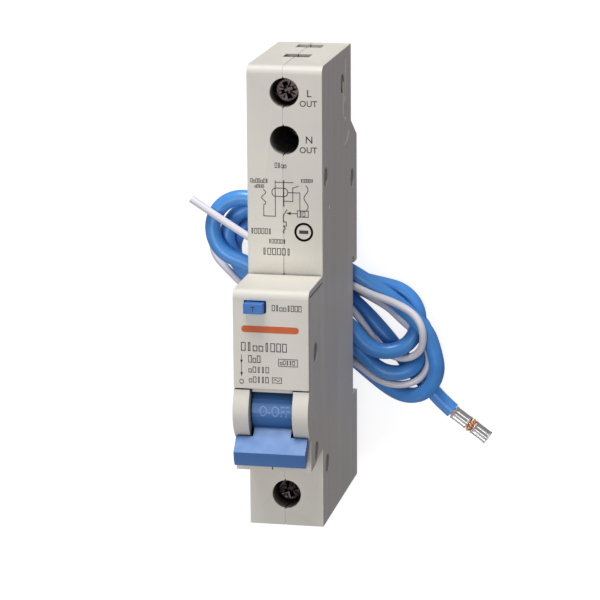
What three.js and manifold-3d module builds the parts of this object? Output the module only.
// A single-module residual current breaker (RCBO) for a 35 mm top-hat rail, with its two flying leads.
// Frame: millimetres. The origin is on the rail seat, at the middle of the rail. +Z points out of the
// front of the device, +Y to its outgoing (top) terminals and X across the module.
import * as THREE from 'three';
import { mergeVertices } from 'three/addons/utils/BufferGeometryUtils.js';
import Module from 'manifold-3d';

const wasm = await Module();
wasm.setup();

// ---- driving dimensions ------------------------------------------------------------------------
const WIDTH = 18;                 // one module
const HALF = WIDTH / 2;
const TOP_Y = 71.75;              // upper end
const BOTTOM_Y = -40.25;          // lower end
const SHOULDER_Z = 38.6;          // front of the upper terminal block
const LOWER_Z = 39.0;             // front of the lower terminal block
const NOSE_Z = 55.6;              // front of the nose
const NOSE_TOP_Y = 21.85;
const NOSE_LOW_Y = -22.3;
const NOSE_LOW_Z = 53.3;          // front of the strip below the toggle
const NOSE_ROOT_Y = -20.3;        // where the nose's underside meets the lower block
const BACK_Z = -5.5;              // back of the case, and the depth of the rail recess
const TOP_BACK_Z = 2.1;           // back of the case behind the upper terminals
const SLANT_LOW_Y = 48;
const SLANT_HIGH_Y = 52.7;
const RECESS = 17.75;             // half height of the rail recess, for a 35 mm rail
const LIP_Y = 16;                 // edge of the fixed lip that hooks behind the rail
const LIP_Z = -1.6;
const SEAT_HIGH_Y = 15.7;
const SEAT_LOW_Y = -16.2;
const WALL = 1.5;
const GAP = 0.3;                  // air between touching pieces
const EDGE_R = 2;                 // rounding of the front top edges
const SEAM_X = -0.3;              // the parting plane of the two case halves

const PIVOT = [-7.8, 49.2];       // toggle axis (y, z)
const CHEEK_R = 8;
const CHEEK_X = 5.2;              // inner face of the two cheeks
const DRUM_R = 5.6;
const DRUM_HALF = 4.9;
const STEM_HALF = 4.5;
const BAR_HALF = 8.55;
const PIN_R = 1;
const COVER_LOW_Y = -1.85;

const HOLE_R = 3.5;               // screwdriver holes
const CHIMNEY_R = 4.7;
const CAGE_HALF_Y = 4.5;
const CAGE_HALF_X = 4.3;
const ENTRY_HALF_X = 3.2;
const ENTRY_H = 4.6;              // height of a wire entry and of the open clamp
const TONGUE_T = 1;
const CAGE_TOP_T = 2.2;
const CAGE_TRAVEL = 2.4;          // three turns of a 0.8 mm thread
const SHELF_T = 1;
const HEAD_R = 3.1;
const HEAD_H = 2.6;
const SHAFT_R = 1.9;
// y of the screw, z of the floor of the wire entry, direction from the screw to the wire entry
const TERMINALS = [
  { name: 'load', y: 65.45, floor: 20.4, out: 1 },
  { name: 'neutral', y: 54.15, floor: 5.4, out: 1 },
  { name: 'line', y: -32.45, floor: 20.4, out: -1 },
];

const RIVETS = [[63.6, 13], [44.8, 34], [5.6, 47.5], [-18.9, 46.5], [-25.8, 33.4], [38, 0.6]];
const RIVET_R = 1.1;
const RIVET_HEAD_R = 2.1;
const RIVET_SINK = 1.4;           // depth of the counterbore under a rivet's head

const LINK_TOP = [-5.49, 46.44];  // crank pin of the toggle, 3.6 mm from its axis
const LINK_LOW = [-7.78, 32.1];
const LINK_HALF_T = 0.7;
const CRANK_R = 0.8;
const ARM_PIVOT = [-1.5, 30.5];
const LEVER_PIVOT = [22, 33.6];
const COIL = [4, 24];             // axis of the magnetic trip coil (x, z)
const RELAY = [-3.4, 30.5];       // axis of the trip relay (x, z)
const LEVER_PIN_R = 0.75;

const BLUE_R = 2;
const WHITE_R = 0.95;
const BENCH_Z = -18;              // the surface that the leads lie on
const HANK_T = 12.2;              // three layers of the blue lead
const HANK_ENDS = [[20.3, -10.2, 13.6], [-23.9, 20.65, 10.6]];   // x, y and radius of its round ends
const GLAND = { blue: -4.2, white: 1.0, z: 6.5, back: -31.2, face: -34.6, collar: -36 };

// ---- materials ---------------------------------------------------------------------------------
const finish = (color, roughness, metalness) =>
  new THREE.MeshStandardMaterial({ color, roughness, metalness });
const MATERIALS = {
  case: finish(0xd9d6cd, 0.5, 0),
  blue: finish(0x3468b4, 0.45, 0),
  button: finish(0x2460b4, 0.45, 0),
  steel: finish(0xa8a8a6, 0.35, 1),
  zinc: finish(0xc4c3b8, 0.4, 1),
  copper: finish(0xb87548, 0.35, 1),
  silver: finish(0xd4d4d0, 0.3, 1),
  board: finish(0x2c6e42, 0.6, 0),
  inner: finish(0x3c3c3e, 0.6, 0),
  clip: finish(0xc9c6bd, 0.5, 0),
  rubber: finish(0x4a4a4c, 0.8, 0),
  bluelead: finish(0x2f7fd0, 0.4, 0),
  whitelead: finish(0xe8e8ec, 0.4, 0),
};

// ---- solids ------------------------------------------------------------------------------------
const [X, Y, Z] = [new THREE.Vector3(1, 0, 0), new THREE.Vector3(0, 1, 0), new THREE.Vector3(0, 0, 1)];
const AXES = {
  x: new THREE.Matrix4().makeBasis(Y, Z, X),
  y: new THREE.Matrix4().makeBasis(Z, X, Y),
  z: new THREE.Matrix4(),
};

function solid(geometry) {
  geometry.deleteAttribute('normal');
  geometry.deleteAttribute('uv');
  const merged = mergeVertices(geometry, 1e-4);
  return new wasm.Manifold(new wasm.Mesh({
    numProp: 3,
    vertProperties: new Float32Array(merged.attributes.position.array),
    triVerts: new Uint32Array(merged.index.array),
  }));
}

function geometryOf(manifold) {
  const mesh = manifold.getMesh();
  const geometry = new THREE.BufferGeometry();
  geometry.setAttribute('position', new THREE.BufferAttribute(new Float32Array(mesh.vertProperties), 3));
  geometry.setIndex(new THREE.BufferAttribute(new Uint32Array(mesh.triVerts), 1));
  geometry.computeVertexNormals();
  return geometry;
}

// A shape drawn in the plane across an axis and pushed along it: (y, z) for x, (z, x) for y, (x, y) for z.
function prism(shape, axis, from, to, curveSegments = 5) {
  const geometry = new THREE.ExtrudeGeometry(shape, { depth: to - from, bevelEnabled: false, curveSegments });
  geometry.translate(0, 0, from);
  geometry.applyMatrix4(AXES[axis]);
  return solid(geometry);
}

const polygon = (points) => new THREE.Shape(points.map(([a, b]) => new THREE.Vector2(a, b)));

function box(x0, x1, y0, y1, z0, z1) {
  const geometry = new THREE.BoxGeometry(x1 - x0, y1 - y0, z1 - z0);
  geometry.translate((x0 + x1) / 2, (y0 + y1) / 2, (z0 + z1) / 2);
  return solid(geometry);
}

function disc(radius, [a, b], axis, from, to, sides = 24) {
  const shape = new THREE.Shape();
  shape.absarc(a, b, radius, 0, 2 * Math.PI);
  return prism(shape, axis, from, to, sides / 2);
}

// A flat bar with round ends between two points of the plane across x.
function bar([y0, z0], [y1, z1], radius, from, to) {
  const along = Math.atan2(z1 - z0, y1 - y0);
  const shape = new THREE.Shape();
  shape.absarc(y1, z1, radius, along - Math.PI / 2, along + Math.PI / 2);
  shape.absarc(y0, z0, radius, along + Math.PI / 2, along + 1.5 * Math.PI);
  return prism(shape, 'x', from, to, 4);
}

// A round wire or cord along a smooth curve through the points.
function wire(points, radius, sides, steps) {
  const path = new THREE.CatmullRomCurve3(points.map((p) => new THREE.Vector3(...p)), false, 'centripetal');
  const section = new THREE.Shape();
  section.absarc(0, 0, radius, 0, 2 * Math.PI);
  const geometry = new THREE.ExtrudeGeometry(section, { extrudePath: path, steps, curveSegments: sides / 2 });
  return solid(geometry);
}

// A turned piece: (radius, height) pairs around an axis through the two given coordinates.
function turned(profile, axis, [a, b], sides = 24) {
  const geometry = new THREE.LatheGeometry(profile.map(([r, h]) => new THREE.Vector2(r, h)), sides);
  geometry.rotateX(Math.PI / 2);
  geometry.translate(a, b, 0);
  geometry.applyMatrix4(AXES[axis]);
  return solid(geometry);
}

const union = (...pieces) => pieces.reduce((sum, piece) => sum.add(piece));
const less = (body, ...cuts) => cuts.reduce((sum, cut) => sum.subtract(cut), body);

// ---- the assembly ------------------------------------------------------------------------------
const device = new THREE.Group();

function add(name, manifold, material) {
  const mesh = new THREE.Mesh(geometryOf(manifold), MATERIALS[material]);
  mesh.name = name;
  device.add(mesh);
}

// z levels of one clamp terminal, from the floor of its wire entry
function levels({ floor }) {
  const tongue = floor + ENTRY_H;
  const cageTop = tongue + TONGUE_T + 0.4 + CAGE_TOP_T;
  const shelf = cageTop + CAGE_TRAVEL + GAP;
  const head = shelf + SHELF_T + GAP;
  return { tongue, cageTop, shelf, head, headTop: head + HEAD_H };
}

// ---- case --------------------------------------------------------------------------------------
function caseOutline() {
  const [py, pz] = PIVOT;
  const lowAngle = Math.PI - Math.asin((NOSE_LOW_Z - pz) / CHEEK_R);
  const highAngle = Math.asin((NOSE_Z - pz) / CHEEK_R);
  const shape = new THREE.Shape();
  shape.moveTo(BOTTOM_Y, LOWER_Z);
  shape.lineTo(BOTTOM_Y, BACK_Z);
  shape.lineTo(-RECESS, BACK_Z);
  shape.lineTo(-RECESS, GAP);
  shape.lineTo(SEAT_LOW_Y, GAP);
  shape.lineTo(SEAT_LOW_Y, 0);
  shape.lineTo(SEAT_HIGH_Y, 0);
  shape.lineTo(SEAT_HIGH_Y, GAP);
  shape.lineTo(RECESS, GAP);
  shape.lineTo(RECESS, LIP_Z);
  shape.lineTo(LIP_Y, LIP_Z);
  shape.lineTo(LIP_Y, BACK_Z);
  shape.lineTo(SLANT_LOW_Y, BACK_Z);
  shape.lineTo(SLANT_HIGH_Y, TOP_BACK_Z);
  shape.lineTo(TOP_Y, TOP_BACK_Z);
  shape.lineTo(TOP_Y, SHOULDER_Z - EDGE_R);
  shape.absarc(TOP_Y - EDGE_R, SHOULDER_Z - EDGE_R, EDGE_R, 0, Math.PI / 2);
  shape.lineTo(NOSE_TOP_Y, SHOULDER_Z);
  shape.lineTo(NOSE_TOP_Y, NOSE_Z);
  shape.absarc(py, pz, CHEEK_R, highAngle, lowAngle);
  shape.lineTo(NOSE_LOW_Y, NOSE_LOW_Z);
  shape.lineTo(NOSE_ROOT_Y, LOWER_Z);
  return shape;
}

function cavityOutline() {
  const nose = 41.5;
  return polygon([
    [BOTTOM_Y + WALL, LOWER_Z - WALL], [BOTTOM_Y + WALL, 13.5], [-31.5, 13.5], [-31.5, WALL],
    [19.3, WALL], [19.3, BACK_Z + WALL], [SLANT_LOW_Y - 0.9, BACK_Z + WALL],
    [SLANT_HIGH_Y - 0.9, TOP_BACK_Z + WALL], [TOP_Y - WALL, TOP_BACK_Z + WALL],
    [TOP_Y - WALL, SHOULDER_Z - WALL], [20.2, SHOULDER_Z - WALL], [20.2, 60], [-1, 60], [-1, nose],
    [-19.2, nose], [-18.7, LOWER_Z - WALL],
  ]);
}

function terminalWalls(terminal) {
  const { shelf } = levels(terminal);
  return disc(CHIMNEY_R, [0, terminal.y], 'z', shelf, SHOULDER_Z - WALL + 0.4, 24);
}

function terminalCuts(terminal) {
  const { shelf } = levels(terminal);
  const inner = terminal.y + terminal.out * (CAGE_HALF_Y - 1);
  const outer = terminal.out > 0 ? TOP_Y + 1 : BOTTOM_Y - 1;
  const [from, to] = [Math.min(inner, outer), Math.max(inner, outer)];
  return [
    disc(HOLE_R, [0, terminal.y], 'z', shelf + SHELF_T, NOSE_Z, 28),
    disc(SHAFT_R + 0.4, [0, terminal.y], 'z', shelf - 1, shelf + SHELF_T + 1, 16),
    box(-ENTRY_HALF_X, ENTRY_HALF_X, from, to, terminal.floor, terminal.floor + ENTRY_H),
  ];
}

const CLIP = { wide: 4.9, narrow: 3.4, wideBack: -3.6, wideFront: -1.3, hook: -16.3, tail: -41.6 };

function clipChannel() {
  const front = -0.7;
  const step = CLIP.wideBack - GAP;
  return [
    box(-CLIP.wide - GAP, CLIP.wide + GAP, BOTTOM_Y - 1, -RECESS + 1, step, front),
    box(-CLIP.narrow - GAP, CLIP.narrow + GAP, BOTTOM_Y - 1, -RECESS + 1, BACK_Z - 1, step + 0.1),
  ];
}

function leadPocket() {
  return [
    box(-7.7, 3.7, BOTTOM_Y - 1, -33, 1.9, 11.6),
    box(-7.4, 3.2, -34, -31, 3, 10),
  ];
}

function wholeCase() {
  const cover = box(-HALF - 1, HALF + 1, COVER_LOW_Y - GAP, NOSE_TOP_Y + 1, NOSE_Z - WALL - GAP, NOSE_Z + 3);
  const coverTop = box(-HALF - 1, HALF + 1, NOSE_TOP_Y - WALL - GAP, NOSE_TOP_Y + 1, SHOULDER_Z, NOSE_Z + 1);
  const hollow = prism(cavityOutline(), 'x', -HALF + WALL, HALF - WALL);
  const window = box(-CHEEK_X, CHEEK_X, -16.9, COVER_LOW_Y + 2, 41, 60);
  const noseHollow = box(-CHEEK_X, CHEEK_X, -19.9, COVER_LOW_Y, 41, NOSE_LOW_Z - WALL);
  const bosses = RIVETS.map((at) => disc(2.6, at, 'x', -HALF + 0.5, HALF - 0.5, 12));
  const bores = RIVETS.flatMap((at) => [
    disc(RIVET_R + GAP, at, 'x', -HALF - 1, HALF + 1, 12),
    disc(RIVET_HEAD_R + GAP, at, 'x', -HALF - 1, -HALF + RIVET_SINK, 12),
    disc(RIVET_HEAD_R + GAP, at, 'x', HALF - RIVET_SINK, HALF + 1, 12),
  ]);
  const pinBore = disc(PIN_R + GAP, PIVOT, 'x', -7.4, 7.4, 12);
  const shell = less(prism(caseOutline(), 'x', -HALF, HALF, 6), hollow);
  return less(
    union(shell, ...TERMINALS.map(terminalWalls), ...bosses),
    cover, coverTop, window, noseHollow, pinBore, ...TERMINALS.flatMap(terminalCuts),
    ...bores, ...clipChannel(), ...leadPocket(),
  );
}

function caseHalves() {
  const whole = wholeCase();
  const far = 100;
  add('left_shell', whole.intersect(box(-far, SEAM_X - GAP / 2, -far, far, -far, far)), 'case');
  add('right_shell', whole.intersect(box(SEAM_X + GAP / 2, far, -far, far, -far, far)), 'case');
}

const BUTTON = { x0: -6, x1: -1.4, y0: 16.75, y1: 19.15, top: 58 };

function frontCover() {
  const outline = new THREE.Shape();
  outline.moveTo(COVER_LOW_Y, NOSE_Z - WALL);
  outline.lineTo(NOSE_TOP_Y - WALL, NOSE_Z - WALL);
  outline.lineTo(NOSE_TOP_Y - WALL, SHOULDER_Z + GAP);
  outline.lineTo(NOSE_TOP_Y, SHOULDER_Z + GAP);
  outline.absarc(NOSE_TOP_Y - EDGE_R, NOSE_Z - EDGE_R, EDGE_R, 0, Math.PI / 2);
  outline.lineTo(COVER_LOW_Y, NOSE_Z);
  const ledge = box(-DRUM_HALF, DRUM_HALF, -2.9, COVER_LOW_Y + 1, 52.8, NOSE_Z - WALL + 0.3);
  const skirt = box(-7.1, 7.1, 1, 2.2, 48, NOSE_Z - WALL + 0.3);
  const hole = box(BUTTON.x0 - GAP, BUTTON.x1 + GAP, BUTTON.y0 - GAP, BUTTON.y1 + GAP, 50, 60);
  add('front_cover', less(union(prism(outline, 'x', -HALF, HALF, 4), ledge, skirt), hole), 'case');
}

function rivets() {
  RIVETS.forEach((at, i) => {
    const end = HALF - 0.35;
    const rivet = turned([
      [0, -end], [RIVET_HEAD_R - 0.5, -end], [RIVET_HEAD_R, -end + 0.4], [RIVET_HEAD_R, -end + 0.7],
      [RIVET_R, -end + 0.7], [RIVET_R, end - 0.7], [RIVET_HEAD_R, end - 0.7],
      [RIVET_HEAD_R, end - 0.4], [RIVET_HEAD_R - 0.5, end], [0, end],
    ], 'x', at, 12);
    add(`rivet_${i + 1}`, rivet, 'steel');
  });
}

// ---- toggle and switching mechanism ------------------------------------------------------------
function toggle() {
  const [py, pz] = PIVOT;
  const lean = Math.SQRT1_2;
  // a point at a distance out along the lever and a height above its centre line
  const at = (out, up) => [py + (up - out) * lean, pz + (up + out) * lean];
  const drum = disc(DRUM_R, PIVOT, 'x', -DRUM_HALF, DRUM_HALF, 32);
  const stem = prism(polygon([at(2, 0.4), at(2, -3), at(11, -3), at(11, 0.4)]), 'x', -STEM_HALF, STEM_HALF);
  const grip = prism(polygon([
    [-13.4, 55.4], [-15.3, 54], [-18.4, 56], [-19.2, 57.4], [-19.65, 59.5], [-19.2, 59.75], [-16.5, 58.7],
  ]), 'x', -BAR_HALF, BAR_HALF);
  const slot = prism(polygon([[0.8, -9], [9, -9], [9, 9], [0.8, 9]].map(([a, b]) => {
    const out = THREE.MathUtils.degToRad(-50);
    return [py + a * Math.cos(out) - b * Math.sin(out), pz + a * Math.sin(out) + b * Math.cos(out)];
  })), 'x', -1.1, 1.1);
  const crank = disc(CRANK_R, LINK_TOP, 'x', -1.5, 1.5, 12);
  const bore = disc(PIN_R + GAP, PIVOT, 'x', -9, 9, 12);
  add('toggle', less(union(less(union(drum, stem, grip), slot), crank), bore), 'blue');
  add('toggle_pin', disc(PIN_R, PIVOT, 'x', -7.1, 7.1, 12), 'steel');
}

function toggleLink() {
  const plate = union(
    bar(LINK_TOP, LINK_LOW, 1, -LINK_HALF_T, LINK_HALF_T),
    disc(1.9, LINK_TOP, 'x', -LINK_HALF_T, LINK_HALF_T, 16),
    disc(1.8, LINK_LOW, 'x', -LINK_HALF_T, LINK_HALF_T, 16),
  );
  const topEye = disc(CRANK_R + GAP, LINK_TOP, 'x', -2, 2, 12);
  const lowEye = disc(0.8, LINK_LOW, 'x', -2, 2, 12);
  add('toggle_link', less(plate, topEye, lowEye), 'steel');
}

function contactArm() {
  const elbow = [-8, 31];
  const tip = [-9.6, 18.4];
  const arm = union(
    disc(2.6, ARM_PIVOT, 'x', 1.2, 4.6, 16), bar(ARM_PIVOT, elbow, 1.7, 1.2, 4.6),
    bar(elbow, tip, 1.3, 1.9, 3.9), box(1.6, 4.2, -12, -9.6, 17.4, 20),
  );
  add('contact_arm', less(arm, disc(PIN_R + GAP, ARM_PIVOT, 'x', 0, 9, 12)), 'copper');
  add('contact_arm_pin', disc(PIN_R, ARM_PIVOT, 'x', 0.6, 7.1, 12), 'steel');
  add('fixed_contact', box(1.6, 4.5, -16.3, -15.6, 18.2, 22.8), 'silver');
}

function arcChute() {
  const plates = 7;
  const pitch = 1.7;
  const plate = 0.8;
  const points = [[-28, 3]];
  for (let i = 0; i < plates; i += 1) {
    const z = 3 + i * pitch;
    points.push([-13, z], [-13, z + plate]);
    if (i < plates - 1) points.push([-26.8, z + plate], [-26.8, z + pitch]);
  }
  points.push([-28, 3 + (plates - 1) * pitch + plate]);
  add('arc_chute', prism(polygon(points), 'x', 1.4, 7), 'steel');
}

function magneticTrip() {
  const turns = 8;
  const [start, end, bore] = [4, 16, 1.6];
  const pitch = (end - start) / turns;
  const profile = [[bore, start], [2.9, start]];
  for (let i = 0; i < turns; i += 1) {
    const at = start + i * pitch;
    profile.push([3.2, at + 0.35 * pitch], [3.2, at + 0.65 * pitch], [2.5, at + pitch]);
  }
  profile.push([bore, end], [bore, start]);
  const [x, z] = COIL;
  add('trip_coil', turned(profile, 'y', [z, x], 16), 'copper');
  const plunger = [[0, 3], [1.25, 3], [1.25, 17], [0.7, 17.6], [0.7, 19], [0, 19]];
  add('trip_plunger', turned(plunger, 'y', [z, x], 12), 'steel');
}

function tripLever() {
  const lever = union(
    disc(2.2, LEVER_PIVOT, 'x', 1.5, 3.5, 16), bar(LEVER_PIVOT, [22, 22.6], 1, 1.5, 3.5),
    bar(LEVER_PIVOT, [14, 40], 1.1, 1.5, 3.5), box(1.5, 5.5, 21, 22.6, 21.6, 26.4),
  );
  add('trip_lever', less(lever, disc(LEVER_PIN_R + GAP, LEVER_PIVOT, 'x', 0, 9, 12)), 'inner');
  add('trip_lever_pin', disc(LEVER_PIN_R, LEVER_PIVOT, 'x', 0.6, 7.1, 12), 'steel');
  add('bimetal_strip', box(1.5, 6.5, 26.4, 27.3, 7, 33), 'zinc');
}

// ---- terminals and conductors ------------------------------------------------------------------
function screw({ y }, { tongue, head, headTop }) {
  const end = tongue + TONGUE_T + 0.5;
  const body = turned([
    [0, end], [SHAFT_R - 0.4, end], [SHAFT_R, end + 0.5], [SHAFT_R, head], [HEAD_R, head],
    [HEAD_R, headTop - 0.4], [HEAD_R - 0.4, headTop], [0, headTop],
  ], 'z', [0, y], 20);
  const depth = headTop - 1.3;
  const slot = box(-HEAD_R - 1, HEAD_R + 1, y - 0.45, y + 0.45, depth, headTop + 1);
  const cross = box(-0.45, 0.45, y - 1.9, y + 1.9, depth, headTop + 1);
  return less(body, slot, cross);
}

function terminals() {
  TERMINALS.forEach((terminal) => {
    const { name, y, floor } = terminal;
    const level = levels(terminal);
    const ring = box(-CAGE_HALF_X, CAGE_HALF_X, y - CAGE_HALF_Y, y + CAGE_HALF_Y, floor - 1, level.cageTop);
    const inside = box(-ENTRY_HALF_X, ENTRY_HALF_X, y - 9, y + 9, floor, level.cageTop - CAGE_TOP_T);
    const thread = disc(SHAFT_R + GAP, [0, y], 'z', level.tongue, level.cageTop + 1, 16);
    add(`${name}_cage`, less(ring, inside, thread), 'zinc');
    add(`${name}_screw`, screw(terminal, level), 'zinc');
  });
}

function tongue({ y, floor }, from, to) {
  return box(-2.8, 2.8, y + from, y + to, floor + ENTRY_H, floor + ENTRY_H + TONGUE_T);
}

function conductors() {
  const [load, neutral, line] = TERMINALS;
  const z = load.floor + ENTRY_H;
  const loadWire = wire([
    [4.6, 59.9, z + 0.5], [6.05, 57.6, z + 0.5], [6.05, 50, 25.2], [4.4, 47, 24], [1.7, 44.8, 22.2],
    [1.6, 40, 22], [2.2, 36, 21.4], [3.8, 32.4, 17], [4, 29.8, 11], [4, 28.2, 9],
  ], 0.8, 8, 30);
  const loadPlate = box(-2.8, 5.2, 59.3, 60.7, z, z + TONGUE_T);
  add('load_conductor', union(tongue(load, -5.2, 4), loadPlate, loadWire), 'copper');
  const neutralWire = wire([
    [-1.7, 48.6, 10.5], [-1.7, 47, 12], [-1.7, 46.2, 17], [-1.7, 44.6, 21.4], [-1.7, 40, 22], [-2, 36, 21.4],
    [-3.3, 32.6, 18], [-3.4, 27, 12.5], [-3.4, 18, 8.4], [-3.4, 0, 7], [-3.8, -20, 6.6], [-4.2, -30.8, 6.5],
  ], 0.9, 8, 44);
  add('neutral_conductor', union(tongue(neutral, -6.2, 4), neutralWire), 'copper');
  const step = box(1.5, 4.6, -26.9, -16.6, z, z + TONGUE_T);
  const drop = box(1.5, 4.6, -17.8, -16.6, 17.6, z + TONGUE_T);
  add('line_busbar', union(tongue(line, -4, 5.6), step, drop), 'copper');
  add('earth_conductor', wire([
    [1, -30.6, 6.5], [0.9, -29, 7], [-2.2, -26.2, 13], [-4.4, -23, 17], [-5.1, -19, 18],
  ], 0.55, 6, 14), 'copper');
}

// ---- residual current sensing ------------------------------------------------------------------
function residualUnit() {
  const [inner, outer] = [3.4, 6.6];
  const ring = [
    [inner, 38.5], [outer - 0.8, 38.5], [outer, 39.3], [outer, 43.7], [outer - 0.8, 44.5],
    [inner, 44.5], [inner, 38.5],
  ];
  add('sensing_toroid', turned(ring, 'y', [22, 0], 28), 'inner');
  const parts = [
    box(-6.2, -4.9, 16, 24, 24, 33), box(-6.2, -4.5, -14, -6, 18, 24), box(-6.2, -4.7, -3, 1, 22, 30),
    disc(2.6, [-18, 28], 'x', -6.2, -3.4, 16), box(-6.2, -5.2, 4, 12, 12.5, 17),
  ];
  add('circuit_board', union(box(-7.1, -6.1, -23, 33, 9, 35), ...parts), 'board');
  const [x, z] = RELAY;
  const bobbin = union(
    box(-5.4, -1.4, 3, 4.4, z - 3.6, z + 3.6), box(-5.4, -1.4, 12.6, 14, z - 3.6, z + 3.6),
    disc(1.95, [z, x], 'y', 3.5, 13.5, 16),
  );
  add('trip_relay', less(bobbin, disc(1.2, [z, x], 'y', 6, 20, 12)), 'inner');
  add('relay_plunger', disc(0.85, [z, x], 'y', 7, 17.5, 12), 'steel');
}

function testButton() {
  const { x0, x1, y0, y1, top } = BUTTON;
  const middle = [(x0 + x1) / 2, (y0 + y1) / 2];
  const cap = box(x0, x1, y0, y1, 52.6, top);
  const flange = box(x0 - 0.9, x1 + 0.9, y0 - 1.5, y1 + 0.7, 52, 53.7);
  const stem = disc(0.9, middle, 'z', 48.8, 52.5, 12);
  add('test_button', union(cap, flange, stem), 'button');
  const blade = polygon([[9, 36.3], [9.6, 36.3], [9.6, 46.4], [19.4, 46.4], [19.4, 47], [9, 47]]);
  add('test_blade', prism(blade, 'x', -6, -2.2), 'copper');
}

function partition() {
  const outline = polygon([
    [-22.8, 2.6], [34, 2.6], [34, 36], [-2.2, 36], [-2.2, 28], [-14.5, 28], [-14.5, 36], [-22.8, 36],
  ]);
  add('inner_partition', prism(outline, 'x', -1.1, 0.2), 'inner');
}

// ---- rail clip ---------------------------------------------------------------------------------
function railClip() {
  const { wide, narrow, wideBack, wideFront, hook, tail } = CLIP;
  const slide = box(-wide, wide, tail + 3, hook, wideBack, wideFront);
  const rib = box(-narrow, narrow, tail + 3, -17.2, BACK_Z + 0.3, wideBack + 0.2);
  const pull = box(-narrow, narrow, tail, tail + 3.5, BACK_Z + 0.3, wideFront);
  const lever = box(-2, 2, tail - 1, tail + 1.5, wideBack, wideFront);
  const ramp = prism(polygon([[hook - 1.4, -3.7], [hook + 0.1, -3.7], [hook + 0.1, -2.2]]), 'x', -6, 6);
  const driver = box(-1.6, 1.6, tail + 1, tail + 2.2, BACK_Z, wideFront + 1);
  add('rail_clip', less(union(slide, rib, pull, lever), ramp, driver), 'clip');
}

// ---- leads -------------------------------------------------------------------------------------
function gland() {
  const { blue, white, z, back, face, collar } = GLAND;
  add('lead_gland', union(
    box(-7.1, 2.9, -33.6, back, 3.3, 9.7), box(-7.3, 3.3, face, -33.3, 2.3, 10.7),
    disc(2.9, [z, blue], 'y', collar, face + 0.5, 16), disc(1.7, [z, white], 'y', collar, face + 0.5, 12),
  ), 'rubber');
}

function hank() {
  const [[x0, y0, r0], [x1, y1, r1]] = HANK_ENDS;
  const along = Math.atan2(y1 - y0, x1 - x0);
  const flare = Math.acos((r0 - r1) / Math.hypot(x1 - x0, y1 - y0));
  const outline = new THREE.Shape();
  outline.absarc(x0, y0, r0, along + flare, along - flare + 2 * Math.PI);
  outline.absarc(x1, y1, r1, along - flare, along + flare);
  const options = { depth: HANK_T, bevelEnabled: false, curveSegments: 12 };
  const geometry = new THREE.ExtrudeGeometry(outline, options);
  geometry.translate(0, 0, BENCH_Z);
  add('lead_hank', solid(geometry), 'bluelead');
}

// Points of the half turn that a lead makes below the lower end, from its gland down to the bench.
function dropLoop(x, y, low) {
  const radius = (GLAND.z - low) / 2;
  return [0, 30, 60, 90, 120, 150, 180].map((degrees) => {
    const angle = THREE.MathUtils.degToRad(degrees);
    return [x, y - radius * Math.sin(angle), low + radius * (1 + Math.cos(angle))];
  });
}

// Each lead leaves its gland, turns down below the lower end and runs under the device into the hank.
// The blue one comes out of the hank at its crimped end, and the white one at its cut end.
function leads() {
  const blueZ = BENCH_Z + BLUE_R + 0.1;
  const whiteZ = BENCH_Z + WHITE_R + 0.1;
  const start = GLAND.collar - GAP;
  add('blue_lead_in', wire([
    [-4.2, start, GLAND.z], ...dropLoop(-4.2, -39.3, blueZ), [-4.2, -34, blueZ], [-4.2, -28.5, blueZ],
    [-4.2, -23, blueZ], [-4.6, -17.8, blueZ], [-5.5, -13.2, blueZ], [-6.4, -9.3, blueZ],
  ], BLUE_R, 10, 34), 'bluelead');
  add('white_lead_in', wire([
    [1, start, GLAND.z], ...dropLoop(1, -38.8, whiteZ), [1, -34, whiteZ], [1, -29, whiteZ],
    [1, -24, whiteZ], [0.8, -20, whiteZ], [0.2, -16.2, whiteZ], [-0.6, -12.8, whiteZ],
  ], WHITE_R, 8, 34), 'whitelead');
  add('blue_lead_tail', wire([
    [28.4, -22, blueZ], [30.2, -23.7, blueZ], [32, -25.3, blueZ],
  ], BLUE_R, 10, 3), 'bluelead');
  const endZ = BENCH_Z + HANK_T - WHITE_R - 1;
  add('white_lead_tail', wire([
    [-31.7, 28.6, endZ], [-32.5, 29.1, endZ], [-33.4, 29.7, endZ],
  ], WHITE_R, 8, 3), 'whitelead');
  const length = 11;
  const barrel = solid(new THREE.CylinderGeometry(1.8, 1.8, length, 14).translate(0, length / 2, 0));
  const heading = -36;
  add('crimp_ferrule', barrel.rotate([0, 0, heading - 90]).translate([32.3, -25.6, blueZ]), 'silver');
}

caseHalves();
frontCover();
rivets();
toggle();
toggleLink();
contactArm();
arcChute();
magneticTrip();
tripLever();
terminals();
conductors();
residualUnit();
testButton();
partition();
railClip();
gland();
hank();
leads();

export default device;
